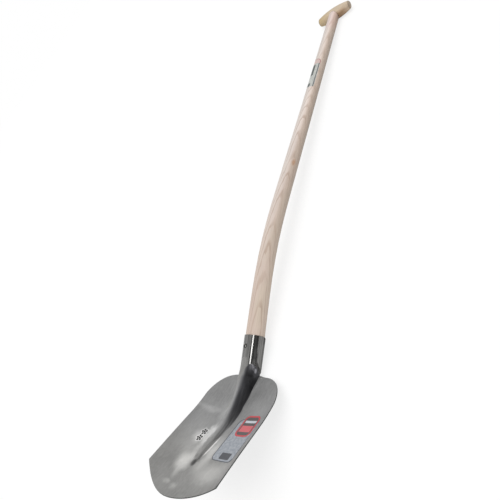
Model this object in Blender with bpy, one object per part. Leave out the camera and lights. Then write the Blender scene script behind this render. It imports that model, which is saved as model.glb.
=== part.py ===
"""A long handled scoop shovel: a pressed steel blade with an open backed socket, a bent ash shaft and a
wooden T grip.

Every shape is worked out in the blade's frame: X across the blade, Y from the tip of the nose towards the
handle and Z out of the hollow side. One empty then lays the whole shovel on its back on a floor at Z = 0.
"""

import math

import bpy
import numpy as np

# Sizes are in metres and angles in degrees.
GAP = 0.0003
SHEET = 0.0018

# The pan. PAN_LENGTH runs from the tip of the nose to the neck, where the shoulders and the heel end.
BLADE_WIDTH = 0.1811
PAN_LENGTH = 0.2538
NOSE_DEPTH = 0.0376
NOSE_POWER = 1.86
NOSE_RISE = 0.0044
SHOULDER_LENGTH = 0.0587
SHOULDER_POWER_ACROSS = 2.46
SHOULDER_POWER_ALONG = 1.75
SIDE_LIFT_NOSE = 0.0089
SIDE_LIFT_MIDDLE = 0.0116
SIDE_LIFT_SHOULDER = 0.0125
DISH_POWER = 2.2
HEEL_LENGTH = 0.1058
HEEL_RISE = 0.0200

# The frog, the hollow rib that stiffens the pan and runs into the socket.
FROG_TIP = 0.060
FROG_TIP_HALF_WIDTH = 0.005
FROG_FULL_WIDTH_AT = 0.150
FROG_HALF_WIDTH = 0.0188
FROG_GROWTH = 0.75
FROG_FLARE_LENGTH = 0.0388
FROG_FILLET = 0.003
FROG_LOW_HEIGHT = 0.0020
CREST_START = 0.125
CREST_POWER = 1.75

# The socket, a tube rolled from the same sheet. Lengths along it start at the foot of its axis, which lies
# ahead of the neck and below it.
SOCKET_FOOT_AHEAD = 0.0263
SOCKET_FOOT_BELOW = 0.0112
SOCKET_ANGLE = 44.0
SOCKET_STRAIGHT_FROM = 0.043
SOCKET_LENGTH = 0.1038
SOCKET_RADIUS = 0.0210
SOCKET_RIM_RADIUS = 0.0217
SOCKET_RIM_DROP = 0.008
SOCKET_RIM_SQUARE = 95.0
SOCKET_EDGE_ANGLE = 166.5
NECK_FILLET = 0.004
NECK_LEDGE = 0.0017
SOCKET_FRONT_ANGLE = 88.0
FLAP_START_ANGLE = 104.0
FLAP_LENGTH = 0.0146
FLAP_CORNER = 0.0057
FLAP_RISE = 1.8
FLAP_ROUNDNESS = 6.0
FLAP_REACH = 1.5

# The shaft. Its bend turns it from the socket's angle to the grip's.
SHAFT_START = 0.030
SHAFT_END_ROUND = 0.010
SHAFT_END_SHARE = 0.55
SHAFT_LENGTH = 1.186
SHAFT_TOP_RADIUS = 0.01625
SHAFT_TOP_ANGLE = 33.1
BEND_MIDDLE = 0.299
BEND_LENGTH = 0.310
TENON_RADIUS = 0.010
TENON_ROOT = 0.03

# The T grip and its wedge.
GRIP_HALF_LENGTH = 0.056
GRIP_RADIUS = 0.0183
GRIP_END_RADIUS = 0.0115
GRIP_EDGE_ROUND = 0.004
WEDGE_THICKNESS = 0.003
WEDGE_TIP_THICKNESS = 0.001
WEDGE_DEPTH = 0.022

# The nail through the front of the socket.
NAIL_FROM_RIM = 0.022
NAIL_TURN = -9.0
NAIL_HEAD_RADIUS = 0.0045
NAIL_HEAD_HEIGHT = 0.0022
NAIL_RADIUS = 0.002
NAIL_LENGTH = 0.030
NAIL_POINT = 0.006
NAIL_POINT_SHARE = 0.15

# How finely the forms are cut into faces.
ARC_STEPS = 12
FILLET_STEPS = 6
FLOOR_STEPS = 8
NOSE_ROWS = 5
PAN_ROWS = 8
HEEL_ROWS = 5
SHOULDER_ROWS = 13
CORNER_ROWS = 5
FLAP_ROWS = 7
SOCKET_ROWS = 6
ROUND_SIDES = 32
END_RINGS = 5
SOCKET_RINGS = 4
SHAFT_RINGS = 26
PATH_STEPS = 2000
GRIP_RINGS = 6
EDGE_RINGS = 4
WEDGE_SLICES = 8
DOME_RINGS = 5
SHARP_ANGLE = 35.0

SHOULDER_START = PAN_LENGTH - SHOULDER_LENGTH
HEEL_START = PAN_LENGTH - HEEL_LENGTH
FLARE_START = PAN_LENGTH - FROG_FLARE_LENGTH
SOCKET_FOOT_ALONG = PAN_LENGTH - SOCKET_FOOT_AHEAD
SOCKET_FOOT_HEIGHT = HEEL_RISE - SOCKET_FOOT_BELOW


def smoothstep(t):
    t = np.clip(t, 0.0, 1.0)
    return t * t * (3.0 - 2.0 * t)


def clear_scene():
    for obj in list(bpy.data.objects):
        bpy.data.objects.remove(obj, do_unlink=True)


def finish(name, colour, roughness, metallic=0.0):
    """A plain material in one colour, which is given in linear light."""
    material = bpy.data.materials.new(name)
    material.use_nodes = True
    surface = material.node_tree.nodes["Principled BSDF"]
    surface.inputs["Base Color"].default_value = (*colour, 1.0)
    surface.inputs["Roughness"].default_value = roughness
    surface.inputs["Metallic"].default_value = metallic
    return material


def add_object(name, points, faces, material, parent):
    mesh = bpy.data.meshes.new(name)
    mesh.from_pydata([tuple(point) for point in points], [], faces)
    if material:
        mesh.materials.append(material)
    mesh.shade_smooth()
    mesh.set_sharp_from_angle(angle=math.radians(SHARP_ANGLE))
    obj = bpy.data.objects.new(name, mesh)
    obj.parent = parent
    bpy.context.scene.collection.objects.link(obj)
    return obj


def hide_cutter(obj):
    obj.hide_render = True
    obj.display_type = "WIRE"


def boolean(obj, operation, other):
    modifier = obj.modifiers.new(operation.title(), "BOOLEAN")
    modifier.operation = operation
    modifier.solver = "EXACT"
    modifier.object = other


def lathe(name, profile, centre, axis, across, material, parent):
    """Turns a profile of (distance along, radius) pairs round an axis, with a flat face at each end."""
    axis = np.asarray(axis, float)
    across = np.asarray(across, float)
    third = np.cross(axis, across)
    turns = [2.0 * math.pi * i / ROUND_SIDES for i in range(ROUND_SIDES)]
    points = [
        centre + along * axis + radius * (math.cos(turn) * across + math.sin(turn) * third)
        for along, radius in profile
        for turn in turns
    ]
    return add_object(name, points, tube_faces(len(profile)), material, parent)


def tube_faces(rings):
    """Faces of a closed tube of rings, each with ROUND_SIDES points, and of its two ends."""
    sides = range(ROUND_SIDES)
    faces = [
        (
            ring * ROUND_SIDES + i,
            ring * ROUND_SIDES + (i + 1) % ROUND_SIDES,
            (ring + 1) * ROUND_SIDES + (i + 1) % ROUND_SIDES,
            (ring + 1) * ROUND_SIDES + i,
        )
        for ring in range(rings - 1)
        for i in sides
    ]
    faces.append(tuple(reversed(sides)))
    faces.append(tuple((rings - 1) * ROUND_SIDES + i for i in sides))
    return faces


# The pan's surface.


def side_lift(y):
    """Height of the pan's side edges over its floor: a curve through three heights."""
    start = NOSE_DEPTH
    middle = (NOSE_DEPTH + SHOULDER_START) / 2.0
    t = (y - start) / (middle - start)
    swing = (SIDE_LIFT_NOSE - 2.0 * SIDE_LIFT_MIDDLE + SIDE_LIFT_SHOULDER) / 2.0
    rise = SIDE_LIFT_MIDDLE - SIDE_LIFT_NOSE - swing
    return SIDE_LIFT_NOSE + rise * t + swing * t * t


def floor_height(y):
    heel = HEEL_RISE * max(0.0, (y - HEEL_START) / (PAN_LENGTH - HEEL_START)) ** 2
    nose = NOSE_RISE * max(0.0, (NOSE_DEPTH - y) / NOSE_DEPTH) ** 2
    return heel + nose


def pan_height(x, y):
    return floor_height(y) + side_lift(y) * abs(2.0 * x / BLADE_WIDTH) ** DISH_POWER


def nose_edge(x):
    return NOSE_DEPTH * abs(2.0 * x / BLADE_WIDTH) ** NOSE_POWER


def shoulder_edge(turn):
    """The shoulder's outline, from the straight side at 0 degrees to the neck at 90."""
    wide = max(0.0, math.cos(math.radians(turn))) ** (2.0 / SHOULDER_POWER_ACROSS)
    along = math.sin(math.radians(turn)) ** (2.0 / SHOULDER_POWER_ALONG)
    neck = neck_half_width()
    return neck + (BLADE_WIDTH / 2.0 - neck) * wide, SHOULDER_START + (PAN_LENGTH - SHOULDER_START) * along


# The socket's axis and radius, and the crest of the frog.


def socket_directions():
    turn = math.radians(SOCKET_ANGLE)
    return np.array([0.0, math.cos(turn), math.sin(turn)]), np.array([0.0, -math.sin(turn), math.cos(turn)])


def socket_point(s, x, front):
    """A point given by its place along the socket, across it and towards its front."""
    along_way, front_way = socket_directions()
    foot = np.array([0.0, SOCKET_FOOT_ALONG, SOCKET_FOOT_HEIGHT])
    return foot + s * along_way + front * front_way + np.array([x, 0.0, 0.0])


def socket_radius(s):
    share = (s - SOCKET_STRAIGHT_FROM) / (SOCKET_LENGTH - SOCKET_STRAIGHT_FROM)
    return SOCKET_RADIUS + (SOCKET_RIM_RADIUS - SOCKET_RADIUS) * share


def neck_along():
    """How far along the socket the neck of the pan lies."""
    along_way, _ = socket_directions()
    neck = np.array([0.0, PAN_LENGTH - SOCKET_FOOT_ALONG, floor_height(PAN_LENGTH) - SOCKET_FOOT_HEIGHT])
    return float(neck @ along_way)


def neck_half_width():
    return socket_radius(neck_along()) + NECK_FILLET + NECK_LEDGE


def crest_height(y):
    """Height of the frog's crest. It runs into the front of the socket where that becomes straight."""
    _, end, top = socket_point(SOCKET_STRAIGHT_FROM, 0.0, socket_radius(SOCKET_STRAIGHT_FROM))
    rib = top * max(0.0, (y - CREST_START) / (end - CREST_START)) ** CREST_POWER
    fade = smoothstep((y - FROG_TIP) / (CREST_START - FROG_TIP) * 2.0)
    return max(rib, floor_height(y) + FROG_LOW_HEIGHT * float(fade), floor_height(y))


def crest_reach(start, way):
    """How far the crest lies from a point of the floor, along a way given in the middle plane."""
    near, far = 0.0, 0.1
    for _ in range(40):
        reach = (near + far) / 2.0
        y, z = start + reach * way
        near, far = (reach, far) if z < crest_height(y) else (near, reach)
    return reach


def frog_half_width(y):
    share = min(1.0, max(0.0, (y - FROG_TIP) / (FROG_FULL_WIDTH_AT - FROG_TIP)))
    grown = FROG_TIP_HALF_WIDTH + (FROG_HALF_WIDTH - FROG_TIP_HALF_WIDTH) * share**FROG_GROWTH
    flare = float(smoothstep((y - FLARE_START) / (PAN_LENGTH - FLARE_START)))
    return grown + (socket_radius(neck_along()) + NECK_FILLET - FROG_HALF_WIDTH) * flare


def frog_section(y, height):
    """Half of the frog's section as (across, height) pairs: a round top and a fillet at its foot."""
    width = frog_half_width(y)
    flare = float(smoothstep((y - FLARE_START) / (PAN_LENGTH - FLARE_START)))
    fillet = FROG_FILLET + (NECK_FILLET - FROG_FILLET) * flare
    turn = 2.0 * math.atan2(min(height, width), width)
    if turn < 1e-6:
        steps = ARC_STEPS + FILLET_STEPS
        return [(width * i / steps, 0.0) for i in range(steps + 1)]
    radius = width / math.sin(turn) - fillet
    section = []
    for i in range(ARC_STEPS + 1):
        a = turn * i / ARC_STEPS
        section.append((radius * math.sin(a), height - radius * (1.0 - math.cos(a))))
    for i in range(1, FILLET_STEPS + 1):
        a = turn * (1.0 - i / FILLET_STEPS)
        section.append((width - fillet * math.sin(a), fillet * (1.0 - math.cos(a))))
    return section


# The blade, as rows of points across it from the nose to the socket's rim.


def nose_rows():
    """Rows from the bowed edge of the nose to the straight row where the frog begins."""
    columns = ARC_STEPS + FILLET_STEPS + FLOOR_STEPS
    rows = []
    for i in range(NOSE_ROWS):
        t = i / NOSE_ROWS
        across = [half_row_width(FROG_TIP, j, t) for j in range(columns + 1)]
        ahead = [nose_edge(x) * (1.0 - t) + FROG_TIP * t for x in across]
        rows.append([(x, y, pan_height(x, y)) for x, y in zip(across, ahead)])
    return rows


def half_row_width(y, column, t):
    """Where a column lies on a flat row: evenly spread at the nose, set by the frog where that begins."""
    columns = ARC_STEPS + FILLET_STEPS + FLOOR_STEPS
    even = BLADE_WIDTH / 2.0 * column / columns
    rib = ARC_STEPS + FILLET_STEPS
    width = frog_half_width(y)
    if column <= rib:
        fitted = width * column / rib
    else:
        fitted = width + (BLADE_WIDTH / 2.0 - width) * (column - rib) / FLOOR_STEPS
    return even * (1.0 - t) + fitted * t


def pan_row(foot, edge_x, edge_y):
    """A row across the frog and on to the pan's edge. Towards the neck it leans back to the socket's."""
    t = max(0.0, (foot - HEEL_START) / (PAN_LENGTH - HEEL_START))
    lean = math.radians(SOCKET_ANGLE) * t * t
    way = np.array([-math.sin(lean), math.cos(lean)])
    height = crest_reach(np.array([foot, floor_height(foot)]), way)
    row = []
    for x, up in frog_section(foot, height):
        row.append((x, foot + up * way[0], pan_height(x, foot) + up * way[1]))
    width = frog_half_width(foot)
    for i in range(1, FLOOR_STEPS + 1):
        share = i / FLOOR_STEPS
        x = width + (edge_x - width) * share
        y = foot + (edge_y - foot) * share
        row.append((x, y, pan_height(x, y)))
    return row


def pan_rows():
    half = BLADE_WIDTH / 2.0
    rows = []
    for i in range(PAN_ROWS):
        y = FROG_TIP + (HEEL_START - FROG_TIP) * i / PAN_ROWS
        rows.append(pan_row(y, half, y))
    for i in range(HEEL_ROWS):
        y = HEEL_START + (SHOULDER_START - HEEL_START) * i / HEEL_ROWS
        rows.append(pan_row(y, half, y))
    for i in range(SHOULDER_ROWS + 1):
        share = i / SHOULDER_ROWS
        foot = SHOULDER_START + (PAN_LENGTH - SHOULDER_START) * share
        rows.append(pan_row(foot, *shoulder_edge(90.0 * share)))
    return rows


def edge_angle(s):
    """How far round the socket the sheet reaches. It opens out to the neck, with a rounded corner."""
    t = max(1e-6, (s - neck_along()) / FLAP_LENGTH)
    share = (t ** (-FLAP_RISE * FLAP_ROUNDNESS) + 1.0) ** (-1.0 / FLAP_ROUNDNESS)
    return FLAP_START_ANGLE + (SOCKET_EDGE_ANGLE - FLAP_START_ANGLE) * share


def rim_along(turn):
    """The rim is square at the front and slopes back towards the open edges."""
    share = max(0.0, (abs(turn) - SOCKET_RIM_SQUARE) / (SOCKET_EDGE_ANGLE - SOCKET_RIM_SQUARE))
    return SOCKET_LENGTH - SOCKET_RIM_DROP * share**1.5


def socket_turns(s):
    columns = FILLET_STEPS + FLOOR_STEPS
    front = [SOCKET_FRONT_ANGLE * j / ARC_STEPS for j in range(ARC_STEPS)]
    sweep = edge_angle(s) - SOCKET_FRONT_ANGLE
    return front + [SOCKET_FRONT_ANGLE + sweep * j / columns for j in range(columns + 1)]


def socket_ring_point(s, turn):
    """A point of the rolled tube. Below its straight part the front rises to the crest of the frog."""
    radius = socket_radius(s)
    rise = 0.0
    if s < SOCKET_STRAIGHT_FROM:
        _, front_way = socket_directions()
        rise = crest_reach(socket_point(s, 0.0, 0.0)[1:], front_way[1:]) - radius
    angle = math.radians(turn)
    front = radius * math.cos(angle) + rise * (1.0 + math.cos(angle)) / 2.0
    return socket_point(s, radius * math.sin(angle), front)


def socket_rows(neck_row):
    """Rows that carry the neck's section over into the rolled tube, then the tube up to its sloping rim."""
    start = neck_along()
    along_way, _ = socket_directions()
    rows = []
    for i in range(1, CORNER_ROWS + 1):
        quarter = math.radians(90.0 * i / CORNER_ROWS)
        move = FLAP_CORNER * (1.0 - math.cos(quarter))
        keep = 1.0 - math.sin(quarter)
        ring = [socket_ring_point(start + move, turn) for turn in socket_turns(start + move)]
        carried = [np.array(point) + move * along_way for point in neck_row]
        rows.append([keep * old + (1.0 - keep) * new for old, new in zip(carried, ring)])
    flap_end = start + FLAP_LENGTH * FLAP_REACH
    for i in range(1, FLAP_ROWS + 1):
        s = start + FLAP_CORNER + (flap_end - start - FLAP_CORNER) * i / FLAP_ROWS
        rows.append([socket_ring_point(s, turn) for turn in socket_turns(s)])
    for i in range(1, SOCKET_ROWS + 1):
        row = []
        for turn in socket_turns(SOCKET_LENGTH):
            s = flap_end + (rim_along(turn) - flap_end) * i / SOCKET_ROWS
            row.append(socket_ring_point(s, turn))
        rows.append(row)
    return rows


def make_blade(parent):
    flat = pan_rows()
    half_rows = nose_rows() + flat + socket_rows(flat[-1])
    points = []
    for row in half_rows:
        points += [(-x, y, z) for x, y, z in reversed(row[1:])] + [tuple(point) for point in row]
    across = 2 * len(half_rows[0]) - 1
    faces = []
    for i in range(len(half_rows) - 1):
        for j in range(across - 1):
            corner = i * across + j
            faces.append((corner, corner + 1, corner + across + 1, corner + across))
    steel = finish("ground_steel", (0.25, 0.25, 0.26), 0.35, 1.0)
    blade = add_object("blade", points, faces, steel, parent)
    wall = blade.modifiers.new("Wall", "SOLIDIFY")
    wall.thickness = SHEET
    wall.offset = -1.0
    wall.use_even_offset = False
    return blade


# The shaft.


def shaft_path():
    """Places and angles along the shaft's middle, from the foot of the socket's axis to the grip's middle."""
    s = np.linspace(0.0, SHAFT_LENGTH, PATH_STEPS)
    bent = smoothstep((s - BEND_MIDDLE) / BEND_LENGTH + 0.5)
    angle = np.radians(SOCKET_ANGLE + (SHAFT_TOP_ANGLE - SOCKET_ANGLE) * bent)
    halfway = (angle[1:] + angle[:-1]) / 2.0
    y = SOCKET_FOOT_ALONG + s[1] * np.concatenate([[0.0], np.cumsum(np.cos(halfway))])
    z = SOCKET_FOOT_HEIGHT + s[1] * np.concatenate([[0.0], np.cumsum(np.sin(halfway))])
    return s, y, z, angle


def shaft_radius(s):
    if s <= SOCKET_LENGTH:
        return socket_radius(s) - SHEET - GAP
    rim = SOCKET_RIM_RADIUS - SHEET - GAP
    return rim + (SHAFT_TOP_RADIUS - rim) * (s - SOCKET_LENGTH) / (SHAFT_LENGTH - SOCKET_LENGTH)


def make_shaft(parent, wood):
    """The bent handle: rings along its middle from the rounded end in the socket to the grip's middle."""
    s_path, y_path, z_path, angle_path = shaft_path()
    stations = []
    for i in range(END_RINGS):
        turn = math.radians(90.0 * i / END_RINGS)
        s = SHAFT_START + SHAFT_END_ROUND * (1.0 - math.cos(turn))
        stations.append((s, shaft_radius(s) * (SHAFT_END_SHARE + (1.0 - SHAFT_END_SHARE) * math.sin(turn))))
    end = SHAFT_START + SHAFT_END_ROUND
    stations += [(s, shaft_radius(s)) for s in np.linspace(end, SOCKET_LENGTH, SOCKET_RINGS)]
    stations += [(s, shaft_radius(s)) for s in np.linspace(SOCKET_LENGTH, SHAFT_LENGTH, SHAFT_RINGS)[1:]]
    points = []
    for s, radius in stations:
        y, z, angle = (np.interp(s, s_path, path) for path in (y_path, z_path, angle_path))
        for i in range(ROUND_SIDES):
            turn = 2.0 * math.pi * i / ROUND_SIDES
            across, front = radius * math.cos(turn), radius * math.sin(turn)
            points.append((-across, y - front * math.sin(angle), z + front * math.cos(angle)))
    return add_object("shaft", points, tube_faces(len(stations)), wood, parent)


# The grip. Its own directions are the bar's, the shaft's, and the one square to both.


def grip_frame():
    _, y_path, z_path, angle_path = shaft_path()
    centre = np.array([0.0, y_path[-1], z_path[-1]])
    up = np.array([0.0, math.cos(angle_path[-1]), math.sin(angle_path[-1])])
    return centre, np.array([1.0, 0.0, 0.0]), up, np.array([0.0, -up[2], up[1]])


def grip_radius(along):
    """The bar is fattest in its middle and falls away to its ends, whose edges are rounded over."""
    share = abs(along) / GRIP_HALF_LENGTH
    radius = GRIP_RADIUS - (GRIP_RADIUS - GRIP_END_RADIUS) * share**2
    past = abs(along) - (GRIP_HALF_LENGTH - GRIP_EDGE_ROUND)
    if past > 0.0:
        radius -= GRIP_EDGE_ROUND - math.sqrt(max(0.0, GRIP_EDGE_ROUND**2 - past**2))
    return radius


def grip_profile(extra):
    straight = GRIP_HALF_LENGTH - GRIP_EDGE_ROUND
    places = [straight * i / GRIP_RINGS for i in range(GRIP_RINGS + 1)]
    for i in range(1, EDGE_RINGS + 1):
        places.append(straight + GRIP_EDGE_ROUND * math.sin(math.radians(90.0 * i / EDGE_RINGS)))
    half = [(place, grip_radius(place) + extra) for place in places]
    return [(-place, radius) for place, radius in reversed(half[1:])] + half


def grip_top(x, across):
    """Height of the bar's far side over its middle, which the tenon and its wedge are trimmed to."""
    return math.sqrt(grip_radius(x) ** 2 - across**2)


def make_tenon(parent, wood):
    centre, bar, up, third = grip_frame()
    points = []
    for share in (None, 1.0, 0.75, 0.5, 0.25):
        for i in range(ROUND_SIDES):
            turn = 2.0 * math.pi * i / ROUND_SIDES
            radius = TENON_RADIUS * (share or 1.0)
            x, across = radius * math.cos(turn), radius * math.sin(turn)
            height = -TENON_ROOT if share is None else grip_top(x, across)
            points.append(centre + x * bar + across * third * -1.0 + height * up)
    return add_object("tenon", points, tube_faces(5), wood, parent)


def make_wedge(name, parent, material, grow, over):
    """The wedge, as slices across the tenon. Grown by the gap and carried past the top, it cuts its slot."""
    centre, bar, up, third = grip_frame()
    half = math.sqrt(TENON_RADIUS**2 - (WEDGE_THICKNESS / 2.0) ** 2) - GAP + grow
    low = GRIP_RADIUS - WEDGE_DEPTH - grow
    points = []
    for i in range(WEDGE_SLICES + 1):
        across = half * (2.0 * i / WEDGE_SLICES - 1.0)
        top = grip_top(0.0, across) + over
        spread = (top - low) / (GRIP_RADIUS - low)
        thick = WEDGE_TIP_THICKNESS + (WEDGE_THICKNESS - WEDGE_TIP_THICKNESS) * spread
        for x, height in (
            (-thick / 2.0 - grow, top),
            (-WEDGE_TIP_THICKNESS / 2.0 - grow, low),
            (WEDGE_TIP_THICKNESS / 2.0 + grow, low),
            (thick / 2.0 + grow, top),
        ):
            points.append(centre + x * bar + across * third + height * up)
    faces = [
        (4 * i + j, 4 * i + (j + 1) % 4, 4 * i + 4 + (j + 1) % 4, 4 * i + 4 + j)
        for i in range(WEDGE_SLICES)
        for j in range(4)
    ]
    faces += [(3, 2, 1, 0), tuple(4 * WEDGE_SLICES + j for j in range(4))]
    return add_object(name, points, faces, material, parent)


def make_handle(parent):
    """The shaft, the grip and the wedge, cut to fit each other."""
    ash = finish("ash_shaft", (0.62, 0.50, 0.38), 0.45)
    grip_wood = finish("turned_grip", (0.55, 0.40, 0.25), 0.45)
    wedge_wood = finish("hardwood_wedge", (0.30, 0.17, 0.09), 0.6)
    centre, bar, up, third = grip_frame()
    shaft = make_shaft(parent, ash)
    grip = lathe("t_grip", grip_profile(0.0), centre, bar, up, grip_wood, parent)
    cope = lathe("cope_cutter", grip_profile(GAP), centre, bar, up, None, parent)
    tenon = make_tenon(parent, None)
    mortise_profile = [(-2.0 * GRIP_RADIUS, TENON_RADIUS + GAP), (2.0 * GRIP_RADIUS, TENON_RADIUS + GAP)]
    mortise = lathe("mortise_cutter", mortise_profile, centre, up, bar, None, parent)
    make_wedge("grip_wedge", parent, wedge_wood, 0.0, 0.0)
    slot = make_wedge("slot_cutter", parent, None, GAP, GRIP_RADIUS)
    for cutter in (cope, tenon, mortise, slot):
        hide_cutter(cutter)
    boolean(shaft, "DIFFERENCE", cope)
    boolean(shaft, "UNION", tenon)
    boolean(shaft, "DIFFERENCE", slot)
    boolean(grip, "DIFFERENCE", mortise)
    return shaft, grip


def make_nail(parent, blade, shaft):
    """The domed nail, and the bore that it fills in the socket's wall and in the wood."""
    s = SOCKET_LENGTH - NAIL_FROM_RIM
    turn = math.radians(NAIL_TURN)
    along_way, front_way = socket_directions()
    inward = -(math.sin(turn) * np.array([1.0, 0.0, 0.0]) + math.cos(turn) * front_way)
    seat = socket_point(s, 0.0, 0.0) - (socket_radius(s) + GAP) * inward
    profile = []
    for i in range(DOME_RINGS + 1):
        share = math.radians(90.0 * (i + 0.5) / (DOME_RINGS + 0.5))
        profile.append((-NAIL_HEAD_HEIGHT * math.cos(share), NAIL_HEAD_RADIUS * math.sin(share)))
    profile += [(0.0, NAIL_RADIUS), (NAIL_LENGTH - NAIL_POINT, NAIL_RADIUS)]
    profile.append((NAIL_LENGTH, NAIL_RADIUS * NAIL_POINT_SHARE))
    steel = finish("nail_steel", (0.3, 0.3, 0.3), 0.4, 1.0)
    lathe("socket_nail", profile, seat, inward, along_way, steel, parent)
    bore_profile = [(-SOCKET_RADIUS, NAIL_RADIUS + GAP), (NAIL_LENGTH + GAP, NAIL_RADIUS + GAP)]
    bore = lathe("nail_bore_cutter", bore_profile, seat, inward, along_way, None, parent)
    hide_cutter(bore)
    boolean(blade, "DIFFERENCE", bore)
    boolean(shaft, "DIFFERENCE", bore)


def solid_points(obj):
    """The points of an object as its modifiers leave it, in the blade's frame."""
    graph = bpy.context.evaluated_depsgraph_get()
    mesh = obj.evaluated_get(graph).to_mesh()
    flat = np.empty(len(mesh.vertices) * 3)
    mesh.vertices.foreach_get("co", flat)
    return flat.reshape(-1, 3)


def lay_on_floor(stand, blade, grip):
    """Lays the shovel on its back, on the socket and the grip, with the middle of its box on the origin."""
    bpy.context.view_layer.update()
    heel, bar = solid_points(blade), solid_points(grip)
    low, high = 0.0, math.radians(80.0)
    for _ in range(50):
        turn = (low + high) / 2.0
        down = np.array([0.0, -math.sin(turn), math.cos(turn)])
        low, high = (turn, high) if (bar @ down).min() > (heel @ down).min() else (low, turn)
    along = np.array([0.0, math.cos(turn), math.sin(turn)])
    both = np.concatenate([heel, bar])
    middle = ((both @ along).min() + (both @ along).max()) / 2.0
    stand.rotation_euler = (-turn, 0.0, 0.0)
    stand.location = (0.0, -middle, -(both @ down).min())
    bpy.context.view_layer.update()


clear_scene()
stand = bpy.data.objects.new("stand", None)
bpy.context.scene.collection.objects.link(stand)
blade = make_blade(stand)
shaft, grip = make_handle(stand)
make_nail(stand, blade, shaft)
lay_on_floor(stand, blade, grip)
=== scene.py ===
import math

import bpy
import numpy as np
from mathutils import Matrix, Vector


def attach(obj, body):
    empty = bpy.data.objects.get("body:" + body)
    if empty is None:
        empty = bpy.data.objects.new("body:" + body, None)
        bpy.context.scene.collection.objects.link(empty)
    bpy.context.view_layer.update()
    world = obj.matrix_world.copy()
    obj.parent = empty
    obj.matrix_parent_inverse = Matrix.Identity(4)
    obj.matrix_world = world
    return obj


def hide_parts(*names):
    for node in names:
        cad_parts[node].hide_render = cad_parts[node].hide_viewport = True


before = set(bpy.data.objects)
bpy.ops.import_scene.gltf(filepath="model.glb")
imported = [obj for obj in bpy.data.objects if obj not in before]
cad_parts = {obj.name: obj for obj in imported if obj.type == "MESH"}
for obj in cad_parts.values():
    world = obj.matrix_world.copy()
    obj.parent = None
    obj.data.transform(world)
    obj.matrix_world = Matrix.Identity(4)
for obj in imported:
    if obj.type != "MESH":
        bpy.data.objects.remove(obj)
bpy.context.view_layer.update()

# The camera. It looks down across the pan from the blade's right, close to the nose, so that the shaft runs
# away to the top of the picture and the grip ends up small. It has a wide lens and no depth of field.
camera_lens = bpy.data.cameras.new("camera")
camera_lens.lens = 27.8364
camera_lens.sensor_width = 36.0
camera_lens.clip_start = 0.01
camera = bpy.data.objects.new("camera", camera_lens)
camera.location = (0.55859, -0.586259, 0.577318)
camera.rotation_euler = [math.radians(turn) for turn in (38.4675, 41.5273, 18.4853)]
bpy.context.scene.collection.objects.link(camera)
bpy.context.scene.camera = camera
bpy.context.scene.view_settings.view_transform = "Standard"


# The blade. One sheet of hardened steel, 1.8 mm thick, is cut out, ribbed and dished in a press, and its
# tail is rolled into the open socket. The pan is then ground satin on a belt, while the rib and the socket
# keep the darker skin of the press.

# The blade's own frame in the world, in metres: y runs up the pan from the nose, and z stands off its face.
BLADE_PLACE = (0.0, -0.696004, 0.139009)
BLADE_TILT = math.radians(-35.6198)
# Past its start, the heel rises off the pan as the square of the way.
HEEL_START, HEEL_LENGTH, HEEL_RISE = 0.148, 0.1044, 0.0209
# Places of the rib up the pan, how far it reaches to each side there, and how high its roof stands.
RIB_TIP, RIB_FULL, RIB_FLARE, NECK = 0.060, 0.150, 0.215, 0.2538
RIB_TIP_WIDTH, RIB_WIDTH, FLARE_WIDTH = 0.0045, 0.0162, 0.006
ROOF_HEIGHT = 0.0009
# The socket is turned up from the pan. Places up it count from its foot, and heights from its axis.
SOCKET_TILT = math.radians(44.0)
SOCKET_FOOT, SOCKET_ROUND_FROM, SOCKET_AXIS = 0.1698, 0.0466, -0.1501
NECK_ARCH_TURN = math.radians(45.6)
SMOOTH = {"interpolation_type": "SMOOTHSTEP"}


def linear(hex_colour):
    """An sRGB hex colour such as "c8b49a" as linear values for a colour socket."""
    parts = [int(hex_colour[i : i + 2], 16) / 255.0 for i in (0, 2, 4)]
    light = [part / 12.92 if part <= 0.04045 else ((part + 0.055) / 1.055) ** 2.4 for part in parts]
    return (*light, 1.0)


def add(tree, kind, inputs=(), **settings):
    """Adds a shader node. Its inputs are a list, or a dict by name or number: values, sockets or nodes.

    A Mix node takes its share as input 0, and then two numbers as 2 and 3, or two colours as 6 and 7.
    """
    node = tree.nodes.new("ShaderNode" + kind)
    for name, setting in settings.items():
        setattr(node, name, setting)
    for socket, given in inputs.items() if isinstance(inputs, dict) else enumerate(inputs):
        if isinstance(given, bpy.types.Node):
            given = next(output for output in given.outputs if output.enabled)
        if isinstance(given, bpy.types.NodeSocket):
            tree.links.new(given, node.inputs[socket])
        else:
            node.inputs[socket].default_value = given
    return node


def material(name):
    """An empty node material and its tree."""
    made = bpy.data.materials.new(name)
    made.use_nodes = True
    made.node_tree.nodes.clear()
    return made, made.node_tree


def mask(tree, *steps):
    """1 past the end of every step and 0 before the start of any. A step is an amount, its start and end."""
    parts = [add(tree, "MapRange", step, **SMOOTH) for step in steps]
    whole = parts[0]
    for part in parts[1:]:
        whole = add(tree, "Math", (whole, part), operation="MULTIPLY")
    return whole


def scaled(tree, tone, by, amount, start=0.0, end=1.0):
    """A tone as it is where the amount is at its start, and scaled where it is at its end."""
    change = add(tree, "MapRange", (amount, start, end, 1.0, by), **SMOOTH)
    return add(tree, "Math", (tone, change), operation="MULTIPLY")


def spot(tree, place, middle, reach):
    """1 in the middle of an oval spot, down to 0 at its reach along each axis."""
    local = add(tree, "Mapping", {"Vector": place, "Location": middle, "Scale": reach},
                vector_type="TEXTURE")
    return add(tree, "TexGradient", [local], gradient_type="SPHERICAL").outputs["Fac"]


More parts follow.
